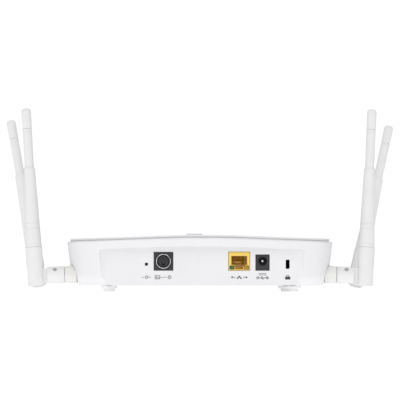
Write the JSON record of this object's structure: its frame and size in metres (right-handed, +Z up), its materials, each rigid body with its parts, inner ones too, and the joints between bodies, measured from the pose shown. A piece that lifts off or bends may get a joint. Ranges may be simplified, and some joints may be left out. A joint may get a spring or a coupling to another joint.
{
  "type": "wireless access point",
  "caption": "Flat white desktop network box with a recessed socket panel on one side and upright whip antennas that swivel and fold on screwed connectors at its sides.",
  "frame": {"origin": "middle of the case's flat underside, 4.9 mm above the surface that the feet stand on", "axes": "+Z up, socket panel faces -Y, antennas stand out along +X and -X"},
  "size_m": [0.3121, 0.1266, 0.1406],
  "materials": {
    "case_white": "fine satin moulded plastic",
    "lens": "glossy translucent plastic",
    "foot_rubber": "smooth pale rubber",
    "steel": "bright zinc plate",
    "board": "solder mask on glass laminate",
    "lan_yellow": "smooth moulded plastic",
    "contact_gold": "gold-flashed spring wire",
    "light_green": "clear moulded light pipe",
    "light_amber": "clear moulded light pipe",
    "socket_black": "moulded dark plastic",
    "nickel": "satin nickel plate",
    "button_black": "moulded plastic",
    "sink": "extruded, plain",
    "jack_brass": "machined, nickel plated",
    "lead_black": "smooth cable jacket",
    "nut_ivory": "ribbed moulded plastic",
    "antenna_white": "soft satin moulded plastic"
  },
  "bodies": {
    "case": {"base_shell": "case_white", "top_cover": "case_white", "status_lens": "lens", "foot_rear_left": "foot_rubber", "foot_rear_right": "foot_rubber", "foot_front_left": "foot_rubber", "foot_front_right": "foot_rubber", "case_screw_rear_left": "steel", "case_screw_rear_right": "steel", "case_screw_front_left": "steel", "case_screw_front_right": "steel", "main_board": "board", "board_screw_left": "steel", "board_screw_right": "steel", "lan_jack_housing": "lan_yellow", "lan_contacts": "contact_gold", "lan_light_green": "light_green", "lan_light_amber": "light_amber", "console_jack_housing": "socket_black", "console_shield_ring": "nickel", "power_jack_housing": "socket_black", "power_jack_pin": "nickel", "reset_switch_body": "socket_black", "lock_plate": "steel", "heat_sink": "sink", "radio_shield_left": "nickel", "radio_shield_right": "nickel", "antenna_jack_rear_left": "jack_brass", "antenna_jack_rear_right": "jack_brass", "antenna_jack_front_left": "jack_brass", "antenna_jack_front_right": "jack_brass", "pigtail_rear_left": "lead_black", "pigtail_rear_right": "lead_black", "pigtail_front_left": "lead_black", "pigtail_front_right": "lead_black"},
    "reset_button": {"reset_plunger": "button_black"},
    "nut_rear_left": {"coupling_nut_rear_left": "nut_ivory"},
    "arm_rear_left": {"swivel_barrel_rear_left": "antenna_white"},
    "antenna_rear_left": {"fork_base_rear_left": "antenna_white", "hinge_pin_rear_left": "steel", "mast_rear_left": "antenna_white", "tip_cap_rear_left": "antenna_white"},
    "nut_rear_right": {"coupling_nut_rear_right": "nut_ivory"},
    "arm_rear_right": {"swivel_barrel_rear_right": "antenna_white"},
    "antenna_rear_right": {"fork_base_rear_right": "antenna_white", "hinge_pin_rear_right": "steel", "mast_rear_right": "antenna_white", "tip_cap_rear_right": "antenna_white"},
    "nut_front_left": {"coupling_nut_front_left": "nut_ivory"},
    "arm_front_left": {"swivel_barrel_front_left": "antenna_white"},
    "antenna_front_left": {"fork_base_front_left": "antenna_white", "hinge_pin_front_left": "steel", "mast_front_left": "antenna_white", "tip_cap_front_left": "antenna_white"},
    "nut_front_right": {"coupling_nut_front_right": "nut_ivory"},
    "arm_front_right": {"swivel_barrel_front_right": "antenna_white"},
    "antenna_front_right": {"fork_base_front_right": "antenna_white", "hinge_pin_front_right": "steel", "mast_front_right": "antenna_white", "tip_cap_front_right": "antenna_white"}
  },
  "joints": [
    {"name": "reset_press", "type": "slide", "parent": "case", "child": "reset_button", "axis": [0, 1, 0], "range_m": [0, 0.0008], "stiffness_N_per_m": 1500},
    {"name": "nut_spin_rear_left", "type": "hinge", "parent": "case", "child": "nut_rear_left", "pos_m": [-0.12665, -0.03, 0.0075], "axis": [0.9995, 0, 0.0332], "continuous": true},
    {"name": "swivel_rear_left", "type": "hinge", "parent": "case", "child": "arm_rear_left", "pos_m": [-0.12665, -0.03, 0.0075], "axis": [0.9995, 0, 0.0332], "range_deg": [-25, 90]},
    {"name": "fold_rear_left", "type": "hinge", "parent": "arm_rear_left", "child": "antenna_rear_left", "pos_m": [-0.12665, -0.03, 0.0075], "axis": [0, -1, 0], "range_deg": [-1.4, 88.6]},
    {"name": "nut_spin_rear_right", "type": "hinge", "parent": "case", "child": "nut_rear_right", "pos_m": [0.12665, -0.03, 0.0075], "axis": [0.9995, 0, -0.0332], "continuous": true},
    {"name": "swivel_rear_right", "type": "hinge", "parent": "case", "child": "arm_rear_right", "pos_m": [0.12665, -0.03, 0.0075], "axis": [0.9995, 0, -0.0332], "range_deg": [-25, 90]},
    {"name": "fold_rear_right", "type": "hinge", "parent": "arm_rear_right", "child": "antenna_rear_right", "pos_m": [0.12665, -0.03, 0.0075], "axis": [0, 1, 0], "range_deg": [-0.55, 89.45]},
    {"name": "nut_spin_front_left", "type": "hinge", "parent": "case", "child": "nut_front_left", "pos_m": [-0.12665, 0.03, 0.0075], "axis": [0.9995, 0, 0.0332], "continuous": true},
    {"name": "swivel_front_left", "type": "hinge", "parent": "case", "child": "arm_front_left", "pos_m": [-0.12665, 0.03, 0.0075], "axis": [0.9995, 0, 0.0332], "range_deg": [-81, 34]},
    {"name": "fold_front_left", "type": "hinge", "parent": "arm_front_left", "child": "antenna_front_left", "pos_m": [-0.12665, 0.03, 0.0075], "axis": [-0.0052, -0.9877, 0.1563], "range_deg": [-8.4, 81.6]},
    {"name": "nut_spin_front_right", "type": "hinge", "parent": "case", "child": "nut_front_right", "pos_m": [0.12665, 0.03, 0.0075], "axis": [0.9995, 0, -0.0332], "continuous": true},
    {"name": "swivel_front_right", "type": "hinge", "parent": "case", "child": "arm_front_right", "pos_m": [0.12665, 0.03, 0.0075], "axis": [0.9995, 0, -0.0332], "range_deg": [-77, 38]},
    {"name": "fold_front_right", "type": "hinge", "parent": "arm_front_right", "child": "antenna_front_right", "pos_m": [0.12665, 0.03, 0.0075], "axis": [-0.0075, 0.9744, -0.2248], "range_deg": [-11.5, 78.5]}
  ]
}
